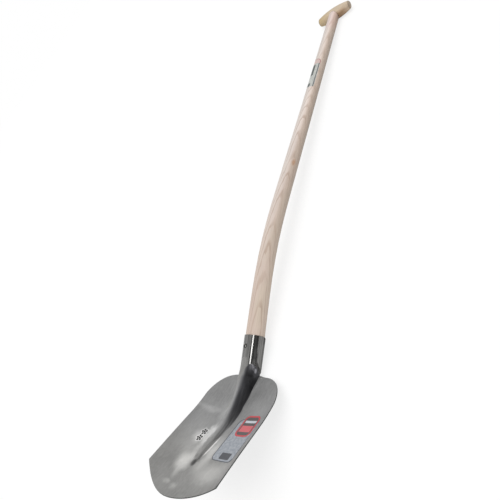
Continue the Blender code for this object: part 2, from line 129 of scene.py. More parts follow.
def through(tree, amount, stops, handles="AUTO_CLAMPED"):
    """A smooth line through pairs of amount and result."""
    amounts, results = zip(*stops)
    low, high = min(results), max(results)
    line = add(tree, "FloatCurve", {"Value": add(tree, "MapRange", (amount, amounts[0], amounts[-1]))})
    points = line.mapping.curves[0].points
    for i, (at, result) in enumerate(stops):
        shares = ((at - amounts[0]) / (amounts[-1] - amounts[0]), (result - low) / (high - low))
        if i in (0, len(stops) - 1):
            points[0 if i == 0 else -1].location = shares
        else:
            points.new(*shares)
    for point in points:
        point.handle_type = handles
    line.mapping.update()
    return add(tree, "MapRange", (line, 0.0, 1.0, low, high))


def stretched_noise(tree, place, sizes, detail=2.0):
    """Noise whose grains have the given sizes in metres along the three axes."""
    grains = add(tree, "Mapping", {"Vector": place, "Scale": [1.0 / size for size in sizes]})
    return add(tree, "TexNoise", {"Vector": grains, "Scale": 1.0, "Detail": detail}).outputs["Fac"]


def take_over(node_name, piece_name, smooth_angle=35.0):
    """A merged and smoothed copy of a CAD node, which stands in its place."""
    bpy.ops.object.select_all(action="DESELECT")
    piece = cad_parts[node_name].copy()
    piece.data = piece.data.copy()
    piece.name = piece.data.name = piece_name
    for key in list(piece.keys()):
        del piece[key]
    piece.parent = None
    bpy.context.scene.collection.objects.link(piece)
    bpy.context.view_layer.objects.active = piece
    piece.select_set(True)
    bpy.ops.object.mode_set(mode="EDIT")
    bpy.ops.mesh.select_all(action="SELECT")
    bpy.ops.mesh.remove_doubles(threshold=0.000005)
    bpy.ops.object.mode_set(mode="OBJECT")
    bpy.ops.object.shade_smooth_by_angle(angle=math.radians(smooth_angle))
    piece.data.materials.clear()
    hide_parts(node_name)
    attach(piece, "root")
    return piece


blade = take_over("blade", "steel_blade")

# Ground steel: hardened carbon steel, finished on a belt. The eye gets a satin grey with fine streaks up the
# pan and soft brighter patches, partly painted highlights, beside the darker and glossier skin of the rib
# and the socket, on which light and shade are partly painted.
ground_steel, tree = material("ground_steel")
pan_place = add(tree, "Mapping", {"Vector": add(tree, "TexCoord").outputs["Object"],
                                  "Location": BLADE_PLACE, "Rotation": (BLADE_TILT, 0.0, 0.0)},
                vector_type="TEXTURE")
tube_place = add(tree, "Mapping", {"Vector": pan_place, "Rotation": (SOCKET_TILT, 0.0, 0.0)},
                 vector_type="TEXTURE")
pan_x, pan_y, pan_z = add(tree, "SeparateXYZ", [pan_place]).outputs
across = add(tree, "Math", [pan_x], operation="ABSOLUTE")
normal = add(tree, "NewGeometry").outputs["Normal"]
off_face = (0.0, -math.sin(BLADE_TILT), math.cos(BLADE_TILT))
facing = add(tree, "VectorMath", (normal, off_face), operation="DOT_PRODUCT")
inner_face = (facing, -0.10, 0.10)
off_tip = add(tree, "MapRange", (pan_y, 0.120, 0.200), **SMOOTH)

# The pressed skin covers the rib from its dark right flank to its right foot, and all past the neck; its
# dark there is partly the skin's own tone and partly painted shade. Each row is a place up the pan, and
# where across it the dark begins and where it is full.
RIB_SHADE = ((0.060, -0.006, -0.003), (0.078, -0.005, -0.001), (0.090, -0.003, 0.002),
             (0.112, 0.002, 0.0058), (0.132, -0.002, 0.006), (0.155, -0.006, 0.0066),
             (0.200, -0.0056, 0.008), (0.226, -0.005, 0.0105), (0.237, 0.001, 0.010), (0.254, 0.001, 0.010))
grown = add(tree, "Math", (add(tree, "MapRange", (pan_y, RIB_TIP, RIB_FULL)), 0.75), operation="POWER")
rib_edge = add(tree, "Math", (grown, RIB_WIDTH - RIB_TIP_WIDTH, RIB_TIP_WIDTH), operation="MULTIPLY_ADD")
flare = add(tree, "MapRange", (pan_y, RIB_FLARE, NECK, 0.0, FLARE_WIDTH), **SMOOTH)
rib_edge = add(tree, "Math", (rib_edge, flare), operation="ADD")
off_rib = add(tree, "Math", (across, rib_edge), operation="SUBTRACT")
bulge = through(tree, pan_y, ((0.140, 0.0), (0.156, 0.0012), (0.172, 0.0012), (0.190, 0.0)))
right_edge = add(tree, "Math", (rib_edge, bulge), operation="ADD")
past_right = add(tree, "Math", (pan_x, right_edge), operation="SUBTRACT")
dark_from = through(tree, pan_y, [(up, start) for up, start, _ in RIB_SHADE])
dark_to = through(tree, pan_y, [(up, end) for up, _, end in RIB_SHADE])
on_rib = mask(tree, (past_right, 0.0006, -0.0006), (pan_x, dark_from, dark_to),
              (pan_y, RIB_TIP - 0.002, RIB_TIP + 0.002))
up_heel = add(tree, "Math", (pan_y, HEEL_START), operation="SUBTRACT")
up_heel = add(tree, "Math", (up_heel, 0.0), operation="MAXIMUM")
up_heel = add(tree, "Math", (up_heel, HEEL_LENGTH), operation="DIVIDE")
dish = add(tree, "Math", (up_heel, 2.0), operation="POWER")
height = add(tree, "Math", (dish, -HEEL_RISE, pan_z), operation="MULTIPLY_ADD")
tall = mask(tree, (height, 0.0022, 0.0036), (pan_x, 0.032, 0.028), (pan_x, dark_from, dark_to),
            (pan_y, 0.185, 0.200))
on_rib = add(tree, "Math", (on_rib, tall), operation="MAXIMUM")
skin_from = add(tree, "MapRange", (pan_y, 0.205, 0.238, 0.0, 0.0046), **SMOOTH)
above = add(tree, "Math", (height, skin_from), operation="SUBTRACT")
above = add(tree, "MapRange", (above, -0.0006, 0.0010), **SMOOTH)
left_half = add(tree, "MapRange", (pan_x, 0.009, 0.006), **SMOOTH)
above = add(tree, "Math", (above, left_half), operation="MAXIMUM")
on_rib = add(tree, "Math", (on_rib, above), operation="MULTIPLY")
past_neck = add(tree, "MapRange", (pan_y, NECK, NECK + 0.004), **SMOOTH)
pressed = add(tree, "Math", (on_rib, past_neck), operation="MAXIMUM")
unpressed = add(tree, "Math", (1.0, pressed), operation="SUBTRACT")

# Brighter patches, partly polished by the belt and partly painted highlights: place across and up the pan,
# reach both ways, and strength. Noise with waves of 17 mm makes their outlines uneven, by up to 7 mm each
# way.
POLISH_AND_HIGHLIGHT_PATCHES = ((-0.0145, 0.122, 0.013, 0.029, 1.40), (-0.033, 0.113, 0.020, 0.022, 0.75),
            (-0.021, 0.063, 0.026, 0.025, 0.98), (-0.014, 0.098, 0.011, 0.045, 0.36),
            (-0.008, 0.074, 0.008, 0.016, 0.15), (-0.018, 0.042, 0.010, 0.018, 0.32),
            (-0.021, 0.021, 0.012, 0.006, 0.30), (0.001, 0.019, 0.013, 0.010, 0.30),
            (0.015, 0.062, 0.014, 0.018, 0.26), (0.023, 0.092, 0.016, 0.044, 0.68),
            (0.052, 0.056, 0.042, 0.030, 0.50), (0.076, 0.068, 0.016, 0.036, 0.12),
            (-0.064, 0.171, 0.046, 0.010, 0.28), (-0.060, 0.125, 0.070, 0.090, 0.15),
            (-0.030, 0.086, 0.034, 0.030, 0.24), (-0.015, 0.172, 0.016, 0.050, 0.22))
WANDER = 0.014
wander = add(tree, "TexNoise", {"Vector": pan_place, "Scale": 60.0, "Detail": 3.0}).outputs["Color"]
wandered = add(tree, "VectorMath", (wander, (WANDER, WANDER, 0.0), pan_place), operation="MULTIPLY_ADD")
polish_and_highlights = 0.0
for right, up, reach_across, reach_along, strength in POLISH_AND_HIGHLIGHT_PATCHES:
    middle = (right + 0.5 * WANDER, up + 0.5 * WANDER, 0.0)
    patch = spot(tree, wandered, middle, (reach_across, reach_along, 0.05))
    patch = add(tree, "MapRange", (patch, 0.0, 0.95), **SMOOTH)
    polish_and_highlights = add(tree, "Math", (patch, strength, polish_and_highlights), operation="MULTIPLY_ADD")
# A painted highlight runs just outside the right foot of the rib's low end, and joins the patches.
foot_highlight = mask(tree, (off_rib, -0.0005, 0.001), (off_rib, 0.0045, 0.002), (pan_x, 0.0, 0.002),
                 (pan_y, 0.075, 0.090), (pan_y, 0.128, 0.108))
polish_and_highlights = add(tree, "Math", (polish_and_highlights, foot_highlight), operation="ADD")
polish_and_highlights = add(tree, "Math", (polish_and_highlights, add(tree, "MapRange", inner_face, **SMOOTH)), operation="MULTIPLY")
polish_and_highlights = add(tree, "Math", (polish_and_highlights, unpressed), operation="MULTIPLY", use_clamp=True)

# The low end of the rib is a small roof, which the press leaves sharper than its foot.
front = add(tree, "MapRange", (facing, -0.3, 0.3, -ROOF_HEIGHT, ROOF_HEIGHT), **SMOOTH)
up_roof = add(tree, "Math", (across, rib_edge), operation="DIVIDE")
roof = mask(tree, (pan_y, 0.058, 0.066), (pan_y, 0.190, 0.150), (up_roof, 1.0, 0.0))
roof = add(tree, "Math", (roof, front), operation="MULTIPLY")
ridge = add(tree, "Bump", {"Height": roof, "Strength": 1.0, "Distance": 1.0})

# The belt leaves marks of 0.1 mm up the pan, and the rolls leave them along the rib and the socket. Both
# are drawn 1 to 2.5 mm wide, as coarse as they need to be to show. The pan's tone drifts over 45 mm, and
# over 3 to 6 mm.
belt = stretched_noise(tree, pan_place, (0.0011, 0.030, 0.01), 3.0)
drawn = add(tree, "Mix", {0: add(tree, "MapRange", (pan_y, 0.225, 0.245), **SMOOTH),
                          2: stretched_noise(tree, pan_place, (0.0016, 0.05, 0.01)),
                          3: stretched_noise(tree, tube_place, (0.0024, 0.09, 0.0024))})
cloud = add(tree, "TexNoise", {"Vector": pan_place, "Scale": 22.0, "Detail": 3.0}).outputs["Fac"]
mottle = stretched_noise(tree, pan_place, (0.0032, 0.0060, 0.010))
tone = add(tree, "MapRange", (cloud, 0.3, 0.7, 0.265, 0.315), **SMOOTH)
for pattern, depth in ((belt, 0.022), (mottle, 0.014)):
    drift = add(tree, "MapRange", (pattern, 0.3, 0.7, -depth, depth), **SMOOTH)
    tone = add(tree, "Math", (tone, drift), operation="ADD")
tone = add(tree, "Math", (polish_and_highlights, 0.51, tone), operation="MULTIPLY_ADD")

# The pan gets lighter towards the heel, most beside the rib's right foot. Painted shade darkens it beside
# the rib's left foot, and it is darker low on the left.
right_foot = mask(tree, (pan_x, 0.034, 0.014), (pan_y, 0.170, 0.205), (pan_x, 0.0, 0.004))
tone = add(tree, "Math", (right_foot, 0.05, tone), operation="MULTIPLY_ADD")
tone = scaled(tree, tone, 1.12, pan_y, 0.155, 0.190)
left_foot_shade = mask(tree, (pan_y, 0.190, 0.225), (pan_x, -0.016, -0.008), (pan_x, 0.012, 0.006))
tone = scaled(tree, tone, 0.80, left_foot_shade)
low_left = spot(tree, pan_place, (-0.060, 0.030, 0.0), (0.050, 0.040, 0.10))
tone = scaled(tree, tone, 0.93, low_left, 0.0, 0.7)

# Two plain rosettes are punched into the left of the pan: five dots in a ring and one in the middle, with a
# ring of painted highlight around them.
ROSETTE_REACH, ROSETTE_DOTS = 0.0046, 5
ROSETTES_X, ROSETTES_Y, ROSETTES_APART = -0.030, 0.1165, 0.0136
rosette_x = add(tree, "Math", (pan_x, ROSETTES_X), operation="SUBTRACT")
rosette_y = add(tree, "Math", (pan_y, ROSETTES_Y), operation="SUBTRACT")
rosette_y = add(tree, "Math", [rosette_y], operation="ABSOLUTE")
rosette_y = add(tree, "Math", (rosette_y, 0.5 * ROSETTES_APART), operation="SUBTRACT")
outwards = add(tree, "VectorMath", [add(tree, "CombineXYZ", (rosette_x, rosette_y))], operation="LENGTH")
around = add(tree, "Math", (rosette_y, rosette_x), operation="ARCTAN2")
around = add(tree, "Math", (around, ROSETTE_DOTS / (2.0 * math.pi)), operation="MULTIPLY")
around = add(tree, "Math", [around], operation="FRACT")
around = add(tree, "Math", (around, 0.5), operation="SUBTRACT")
around = add(tree, "Math", (around, 2.0 * math.pi / ROSETTE_DOTS), operation="MULTIPLY")
along_ring = add(tree, "Math", (around, outwards), operation="MULTIPLY")
off_ring = add(tree, "Math", (outwards, ROSETTE_REACH), operation="SUBTRACT")
off_dot = add(tree, "VectorMath", [add(tree, "CombineXYZ", (along_ring, off_ring))], operation="LENGTH")
off_dot = add(tree, "Math", (off_dot, outwards), operation="MINIMUM")
punched = mask(tree, (off_dot, 0.0024, 0.0017), inner_face)
lip_highlight = mask(tree, (off_dot, 0.0060, 0.0026), inner_face)
lip_highlight = add(tree, "Math", (lip_highlight, punched), operation="SUBTRACT")
tone = add(tree, "Math", (lip_highlight, 0.24, tone), operation="MULTIPLY_ADD")
unpunched = add(tree, "Math", (punched, -0.97, 1.0), operation="MULTIPLY_ADD")
tone = add(tree, "Math", (tone, unpunched), operation="MULTIPLY")

# The socket's tube starts past an arch over the neck, and its streaks are stronger than the neck's.
tube_x, tube_y, tube_z = add(tree, "SeparateXYZ", [tube_place]).outputs
up_tube = add(tree, "Math", (tube_y, SOCKET_FOOT), operation="SUBTRACT")
off_axis = add(tree, "Math", (tube_z, SOCKET_AXIS), operation="SUBTRACT")
turn = add(tree, "Math", (off_axis, tube_x), operation="ARCTAN2")
turn = add(tree, "Math", (turn, NECK_ARCH_TURN), operation="SUBTRACT")
neck_arch = SOCKET_ROUND_FROM
for low, high, drop in ((0.0, 1.6, 0.037), (-1.6, 0.0, 0.014)):
    past_top = add(tree, "Clamp", (turn, low, high))
    past_top = add(tree, "Math", (past_top, 2.0), operation="POWER")
    neck_arch = add(tree, "Math", (past_top, -drop, neck_arch), operation="MULTIPLY_ADD")
past_arch = add(tree, "Math", (up_tube, neck_arch), operation="SUBTRACT")
on_tube = mask(tree, (past_arch, 0.0, 0.003), (off_axis, -0.026, -0.022), (across, 0.026, 0.024))
off_tube = add(tree, "Math", (1.0, on_tube), operation="SUBTRACT")
neck_skin = add(tree, "MapRange", (drawn, 0.3, 0.7, 0.19, 0.25), **SMOOTH)
tube_skin = add(tree, "MapRange", (drawn, 0.32, 0.68, 0.13, 0.29), **SMOOTH)
skin_tone = add(tree, "Mix", {0: on_tube, 2: neck_skin, 3: tube_skin})

# Painted light and shade on the rib: its left flank is painted light and its right one dark, its low end
# lighter all across, the right flank just below the neck darker still, and a painted dark line of shade runs
# along the right flank near the foot of the low end.
flank = add(tree, "MapRange", (pan_x, -0.006, 0.004, 1.0, 0.42), **SMOOTH)
low_flank = add(tree, "MapRange", (pan_y, 0.100, 0.125, 1.6, 1.05), **SMOOTH)
flank = add(tree, "Mix", {0: off_tip, 2: low_flank, 3: flank})
neck_shade = mask(tree, (pan_x, 0.002, 0.008), (pan_y, 0.205, 0.230), (pan_y, 0.246, 0.234))
flank = scaled(tree, flank, 0.60, neck_shade)
flank = add(tree, "Mix", {0: on_tube, 2: flank, 3: 1.0})
skin_tone = add(tree, "Math", (skin_tone, flank), operation="MULTIPLY")
crease_line = through(tree, pan_y, ((0.105, 0.0060), (0.135, 0.0112), (0.170, 0.0100)))
off_crease = add(tree, "Math", (pan_x, crease_line), operation="SUBTRACT")
off_crease = add(tree, "Math", [off_crease], operation="ABSOLUTE")
crease = mask(tree, (off_crease, 0.0024, 0.0004), (pan_y, 0.104, 0.118), (pan_y, 0.172, 0.155))
skin_tone = scaled(tree, skin_tone, 0.66, crease)

# Painted dark reflection darkens the right side of the neck, a thin streak up the tube is dark, and below
# the rim a band round the socket is darker. Each row is a place up the socket, and the height off its axis
# of the edge of the neck's painted dark.
NECK_SIDE = ((0.035, -0.0080), (0.0395, -0.0070), (0.043, -0.0055), (0.0464, -0.0002), (0.050, 0.0012),
             (0.056, 0.0045), (0.080, 0.0045))
STREAK_X = 0.0028
side_edge = add(tree, "Math", (off_axis, through(tree, up_tube, NECK_SIDE)), operation="SUBTRACT")
neck_side = mask(tree, (off_axis, 0.0085, 0.0062), (side_edge, -0.0008, 0.0012), (pan_x, 0.010, 0.014),
                 (up_tube, 0.078, 0.064))
streak = add(tree, "Math", (pan_x, STREAK_X), operation="SUBTRACT")
streak = add(tree, "Math", [streak], operation="ABSOLUTE")
streak = add(tree, "MapRange", (streak, 0.0006, 0.0026, 0.36, 0.0), **SMOOTH)
neck_side = add(tree, "Math", (streak, neck_side), operation="MAXIMUM")
neck_side = add(tree, "Math", (neck_side, on_tube), operation="MULTIPLY")
darker_rim_band = mask(tree, (turn, -0.95, -1.15), (turn, -2.0, -1.8), (up_tube, 0.086, 0.093))
for dark, loss in ((neck_side, 0.70), (darker_rim_band, 0.75)):
    kept = add(tree, "Math", (dark, -loss, 1.0), operation="MULTIPLY_ADD")
    skin_tone = add(tree, "Math", (skin_tone, kept), operation="MULTIPLY")

# Painted highlights on the neck: place across, up and off the socket's axis, reach the same ways, and scale.
NECK_GLINTS = ((0.0175, 0.0500, 0.0108, 0.0050, 0.0110, 0.0055, 2.8),
               (0.0150, 0.0425, 0.0128, 0.0050, 0.0080, 0.0055, 2.2),
               (0.0201, 0.0365, 0.0050, 0.0026, 0.0062, 0.0038, 4.2),
               (0.0180, 0.0400, 0.0092, 0.0030, 0.0060, 0.0040, 2.6),
               (0.0183, 0.0680, 0.0105, 0.0028, 0.0200, 0.0036, 2.0))
for right, up, out, reach_across, reach_along, reach_out, brighter in NECK_GLINTS:
    middle = (right, SOCKET_FOOT + up, SOCKET_AXIS + out)
    glint = spot(tree, tube_place, middle, (reach_across, reach_along, reach_out))
    skin_tone = scaled(tree, skin_tone, brighter, glint, 0.0, 0.7)
tone = add(tree, "Mix", {0: pressed, 2: tone, 3: skin_tone})

# Painted shade in spots around the rib's tip: place across and up the pan, reach both ways, and scale.
DARK_SPOTS = ((0.0018, 0.0650, 0.0070, 0.0090, 0.36), (0.0075, 0.0715, 0.0050, 0.0060, 0.72),
              (-0.0030, 0.0770, 0.0050, 0.0070, 0.74), (0.0062, 0.0780, 0.0034, 0.0080, 0.72))
for right, up, reach_across, reach_along, darker in DARK_SPOTS:
    tip = spot(tree, pan_place, (right, up, 0.0), (reach_across, reach_along, 0.05))
    tone = scaled(tree, tone, darker, tip, 0.0, 0.6)

# The low pan and the tube are a trace warm, and the pressed skin of the rib is a trace blue.
WARM_TINT, COLD_TINT = (1.01, 1.0, 0.972, 1.0), (0.99, 0.99, 1.06, 1.0)
low_pan = add(tree, "MapRange", (pan_y, 0.16, 0.06), **SMOOTH)
warm = add(tree, "Math", (low_pan, on_tube), operation="MAXIMUM")
tint = add(tree, "Mix", {0: warm, 6: linear("ffffff"), 7: WARM_TINT}, data_type="RGBA")
cold = mask(tree, (pan_y, 0.120, 0.200), (pan_x, -0.010, 0.0))
for share in (pressed, off_tube):
    cold = add(tree, "Math", (cold, share), operation="MULTIPLY")
tint = add(tree, "Mix", {0: cold, 6: tint, 7: COLD_TINT}, data_type="RGBA")
colour = add(tree, "VectorMath", {0: tint, "Scale": tone}, operation="SCALE")

# The grooves of the belt scatter light, so the pan is drawn two fifths as metal where it isn't polished.
rib_roughness = add(tree, "MapRange", (off_tip, 0.0, 1.0, 0.42, 0.48), **SMOOTH)
tube_roughness = add(tree, "MapRange", (drawn, 0.3, 0.7, 0.09, 0.16), **SMOOTH)
pan_roughness = add(tree, "MapRange", (belt, 0.3, 0.7, 0.42, 0.50), **SMOOTH)
roughness = add(tree, "Mix", {0: on_tube, 2: rib_roughness, 3: tube_roughness})
roughness = add(tree, "Mix", {0: pressed, 2: pan_roughness, 3: roughness})
skin_metal = add(tree, "MapRange", (off_tip, 0.0, 1.0, 0.45, 1.0), **SMOOTH)
skin_metal = add(tree, "Math", (pressed, skin_metal), operation="MULTIPLY")
off_line = add(tree, "Math", (1.0, foot_highlight), operation="SUBTRACT")
bright = add(tree, "Math", (polish_and_highlights, off_line), operation="MULTIPLY")
metal = add(tree, "Math", (skin_metal, bright), operation="MAXIMUM")
metal = add(tree, "Mix", {0: metal, 2: 0.4, 3: 1.0})
steel = add(tree, "BsdfPrincipled", {"Base Color": colour, "Metallic": metal, "Roughness": roughness,
                                     "Normal": ridge})
add(tree, "OutputMaterial", {"Surface": steel})
blade.data.materials.append(ground_steel)

# Sheared steel: the cut edge of the same sheet. The eye gets a thin dark line, torn in bits of 3 mm, drawn
# coarser than they are to show.
sheared_steel, tree = material("sheared_steel")
torn = stretched_noise(tree, add(tree, "TexCoord").outputs["Object"], (0.0030, 0.0030, 0.0008))
colour = add(tree, "Mix", {0: add(tree, "MapRange", (torn, 0.3, 0.7), **SMOOTH), 6: linear("535353"),
                           7: linear("656564")}, data_type="RGBA")
roughness = add(tree, "MapRange", (torn, 0.3, 0.7, 0.46, 0.34), **SMOOTH)
steel = add(tree, "BsdfPrincipled", {"Base Color": colour, "Metallic": 1.0, "Roughness": roughness})
add(tree, "OutputMaterial", {"Surface": steel})
blade.data.materials.append(sheared_steel)

# A face is of the cut edge where it faces along the pan, and lies beside the rib's width or below its tip.
EDGE_FACING, BESIDE_RIB, BELOW_TIP = 0.4, 0.030, 0.05
for face in blade.data.polygons:
    middle = face.center
    out = face.normal.z * math.cos(BLADE_TILT) - face.normal.y * math.sin(BLADE_TILT)
    up = ((middle.y - BLADE_PLACE[1]) * math.cos(BLADE_TILT)
          + (middle.z - BLADE_PLACE[2]) * math.sin(BLADE_TILT))
    if abs(out) < EDGE_FACING and (abs(middle.x) > BESIDE_RIB or up < BELOW_TIP):
        face.material_index = 1


# The pan's labels. Two films of printed polyester, 0.08 mm thick, are glued to the right of the pan: a
# silver strip with a dark outline and a dark bar, and over its top a banded panel with a red border.
STRIP_PLACE, STRIP_SIZE, STRIP_CORNER = (0.0565, 0.1225), (0.0520, 0.0870), 0.009
BAR_PLACE, BAR_SIZE, BAR_CORNER = (0.0600, 0.0895), (0.0250, 0.0125), 0.002
PANEL_PLACE, PANEL_SIZE, PANEL_CORNER = (0.0600, 0.1520), (0.0390, 0.0450), 0.010
PANEL_BORDER = 0.0034
PANEL_BANDS = ((0.1590, 0.1640, "c4c7ce"), (0.1395, 0.1530, "cf5f66"))
FILM_THICKNESS, FILM_LIFT, PANEL_LIFT = 0.00008, 0.0001, 0.00022
HELD_ABOVE = 0.1


def from_blade(x, y, z):
    """A direction in the world from one in the blade's own frame."""
    return Vector((x, y * math.cos(BLADE_TILT) - z * math.sin(BLADE_TILT),
                   y * math.sin(BLADE_TILT) + z * math.cos(BLADE_TILT)))


def above_pan(x, y):
    """A point above a place of the pan, and the way down to it."""
    return Vector(BLADE_PLACE) + from_blade(x, y, HELD_ABOVE), from_blade(0.0, 0.0, -1.0)


def lay_film(name, piece, above, middle, size, low_corner, high_corner, lift):
    """A film with rounded corners, laid on a piece. Its points keep their flat places as "print"."""
    bpy.ops.object.select_all(action="DESELECT")
    bpy.ops.mesh.primitive_grid_add(x_subdivisions=24, y_subdivisions=48, size=2.0)
    film = bpy.context.object
    film.name = name
    flat, laid = [], []
    for point in film.data.vertices:
        across, up, _ = point.co
        along = 0.5 * size[1] * math.sin(0.5 * math.pi * up)
        corner = low_corner if along < 0.0 else high_corner
        into_corner = max(0.0, corner - (0.5 * size[1] - abs(along)))
        reach = 0.5 * size[0] - corner + math.sqrt(corner**2 - into_corner**2)
        flat.append((middle[0] + reach * across, middle[1] + along, 0.0))
        start, way = above(*flat[-1][:2])
        _, touched, _, _ = piece.ray_cast(start, way)
        laid.append(touched - way * lift)
    film.data.vertices.foreach_set("co", np.array(laid).ravel())
    print_places = film.data.attributes.new("print", "FLOAT_VECTOR", "POINT")
    print_places.data.foreach_set("vector", np.array(flat).ravel())
    bpy.ops.object.shade_smooth()
    thick = film.modifiers.new("thick", "SOLIDIFY")
    thick.thickness = FILM_THICKNESS
    thick.offset = -1.0
    bpy.ops.object.modifier_apply(modifier="thick")
    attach(film, "root")
    return film


def print_material(name):
    """A film's material, its tree, the flat place of its print, and the two axes of that place."""
    made, tree = material(name)
    place = add(tree, "Attribute", attribute_name="print").outputs["Vector"]
    return made, tree, place, add(tree, "SeparateXYZ", [place]).outputs[:2]


def outside_box(tree, axes, middle, size, corner):
    """Distance outside a rounded rectangle in the print's plane, negative inside it."""
    past = []
    for axis, centre, whole in zip(axes, middle, size):
        beyond = add(tree, "Math", (axis, centre), operation="SUBTRACT")
        beyond = add(tree, "Math", [beyond], operation="ABSOLUTE")
        beyond = add(tree, "Math", (beyond, 0.5 * whole - corner), operation="SUBTRACT")
        past.append(add(tree, "Math", (beyond, 0.0), operation="MAXIMUM"))
    reach = add(tree, "VectorMath", [add(tree, "CombineXYZ", past)], operation="LENGTH")
    return add(tree, "Math", (reach, corner), operation="SUBTRACT")


def layered(tree, colour, layers):
    """A colour with layers over it, each a hex colour and how much it covers of what lies below."""
    for upper, cover in layers:
        colour = add(tree, "Mix", {0: cover, 6: colour, 7: linear(upper)}, data_type="RGBA")
    return colour


strip = lay_film("strip_label", blade, above_pan, STRIP_PLACE, STRIP_SIZE, STRIP_CORNER, STRIP_CORNER,
                 FILM_LIFT)
# Silver polyester film, printed. The eye gets a satin cool grey with a speckle of 4.5 mm and finer.
silver_film, tree, place, axes = print_material("silver_film")
print_x, print_y = axes
speckle = add(tree, "TexNoise", {"Vector": place, "Scale": 220.0, "Detail": 3.0}).outputs["Fac"]
speckle = add(tree, "MapRange", (speckle, 0.35, 0.65), **SMOOTH)
outline = outside_box(tree, axes, STRIP_PLACE, STRIP_SIZE, STRIP_CORNER)
outline = add(tree, "MapRange", (outline, -0.0017, -0.0011), **SMOOTH)
left_side = add(tree, "MapRange", (print_x, 0.037, 0.045, 1.0, 0.15), **SMOOTH)
low_side = add(tree, "MapRange", (print_y, 0.090, 0.084), **SMOOTH)
inked_side = add(tree, "Math", (left_side, low_side), operation="MAXIMUM")
outline = add(tree, "Math", (outline, inked_side), operation="MULTIPLY")
bar = outside_box(tree, axes, BAR_PLACE, BAR_SIZE, BAR_CORNER)
bar = add(tree, "MapRange", (bar, 0.0003, -0.0003), **SMOOTH)
ink = layered(tree, linear("a6aab0"), (("8f959e", speckle), ("50545c", outline), ("484a50", bar)))
surface = add(tree, "BsdfPrincipled", {"Base Color": ink, "Metallic": 0.3, "Roughness": 0.35})
add(tree, "OutputMaterial", {"Surface": surface})
strip.data.materials.append(silver_film)

panel = lay_film("panel_label", blade, above_pan, PANEL_PLACE, PANEL_SIZE, PANEL_CORNER, PANEL_CORNER,
                 PANEL_LIFT)
# White polyester film, printed all over. The eye gets flat satin inks: a red border round a dark middle,
# which a pale band and a red one cross.
printed_film, tree, _, axes = print_material("printed_film")
print_y = axes[1]
outline = outside_box(tree, axes, PANEL_PLACE, PANEL_SIZE, PANEL_CORNER)
in_border = add(tree, "MapRange", (outline, -PANEL_BORDER + 0.0004, -PANEL_BORDER), **SMOOTH)
in_margin = add(tree, "MapRange", (outline, -PANEL_BORDER - 0.0016, -PANEL_BORDER - 0.0020), **SMOOTH)
layers = [("4c4847", in_border)]
for low, high, band_colour in PANEL_BANDS:
    above_low = add(tree, "Math", (print_y, low), operation="GREATER_THAN")
    below_high = add(tree, "Math", (print_y, high), operation="LESS_THAN")
    band = add(tree, "Math", (above_low, below_high), operation="MULTIPLY")
    layers.append((band_colour, add(tree, "Math", (in_margin, band), operation="MULTIPLY")))
ink = layered(tree, linear("c23c44"), layers)
surface = add(tree, "BsdfPrincipled", {"Base Color": ink, "Metallic": 0.0, "Roughness": 0.35})
add(tree, "OutputMaterial", {"Surface": surface})
panel.data.materials.append(printed_film)


# The shaft. A squared ash stick is turned to a slight taper, steamed and bent over the socket's end, then
# sanded and left bare. Its tapered foot is driven into the socket, and its top into the grip.
shaft = take_over("shaft", "ash_shaft")
# Rings cut across the stick near its top keep the shading of the turned end off the long faces below it.
for ring_place in (0.630, 0.648, 0.652):
    bpy.ops.object.mode_set(mode="EDIT")
    bpy.ops.mesh.select_all(action="SELECT")
    bpy.ops.mesh.bisect(plane_co=(0.0, ring_place, 0.0), plane_no=(0.0, 1.0, 0.0))
    bpy.ops.object.mode_set(mode="OBJECT")
bpy.ops.object.shade_smooth_by_angle(angle=math.radians(25.0))
# The middle line of the bent stick, as y and z. Each point keeps its place in the straight stick, "grain".
SHAFT_LINE = ((-0.47601, 0.01808), (-0.40323, 0.0288), (-0.36331, 0.03468), (-0.30809, 0.04249),
              (-0.25858, 0.04814), (-0.20829, 0.05181), (-0.15847, 0.05318), (-0.10864, 0.05256),
              (-0.0547, 0.05047), (0.67673, 0.01828))
line_y, line_z = np.array(SHAFT_LINE).T
points = np.empty(len(shaft.data.vertices) * 3)
shaft.data.vertices.foreach_get("co", points)
straight = points.reshape(-1, 3)
straight[:, 2] -= np.interp(straight[:, 1], line_y, line_z)
grain = shaft.data.attributes.new("grain", "FLOAT_VECTOR", "POINT")
grain.data.foreach_set("vector", straight.ravel())

# Sanded ash, cut flat from the board. The eye gets a pale pinkish wood whose rings, 4.2 mm apart, cross the
# top of the stick as arches. They lie square to a line that faces up and to the right.
RING_TURN = math.radians(43.5)
RING_PITCH = 0.0042
ARCHES = (-0.390, -0.298, -0.2365, -0.1726, -0.1045, -0.032, 0.050, 0.116, 0.172, 0.225, 0.270, 0.320,
          0.390, 0.470, 0.560, 0.660)
KNOT_PLACE, KNOT_REACH = (0.0158, 0.025, -0.0048), (0.007, 0.016, 0.0075)
# Painted light and shade across the stick: the wood's colours from its lit side, at this distance from its
# middle, to its shaded side.
SIDE_REACH = 0.017
LIT_TO_SHADED_COLOURS = ((0.0, "e0dad6"), (0.30, "e2d6cf"), (0.42, "dfcfc6"), (0.54, "d0beb1"), (0.70, "cab7a8"),
                (0.88, "baa898"), (1.0, "b3a598"))
sanded_ash, tree = material("sanded_ash")
grain_place = add(tree, "Attribute", attribute_name="grain").outputs["Vector"]
rings_place = add(tree, "Mapping", {"Vector": grain_place, "Rotation": (0.0, RING_TURN, 0.0)})
ring_x, ring_y, ring_z = add(tree, "SeparateXYZ", [rings_place]).outputs

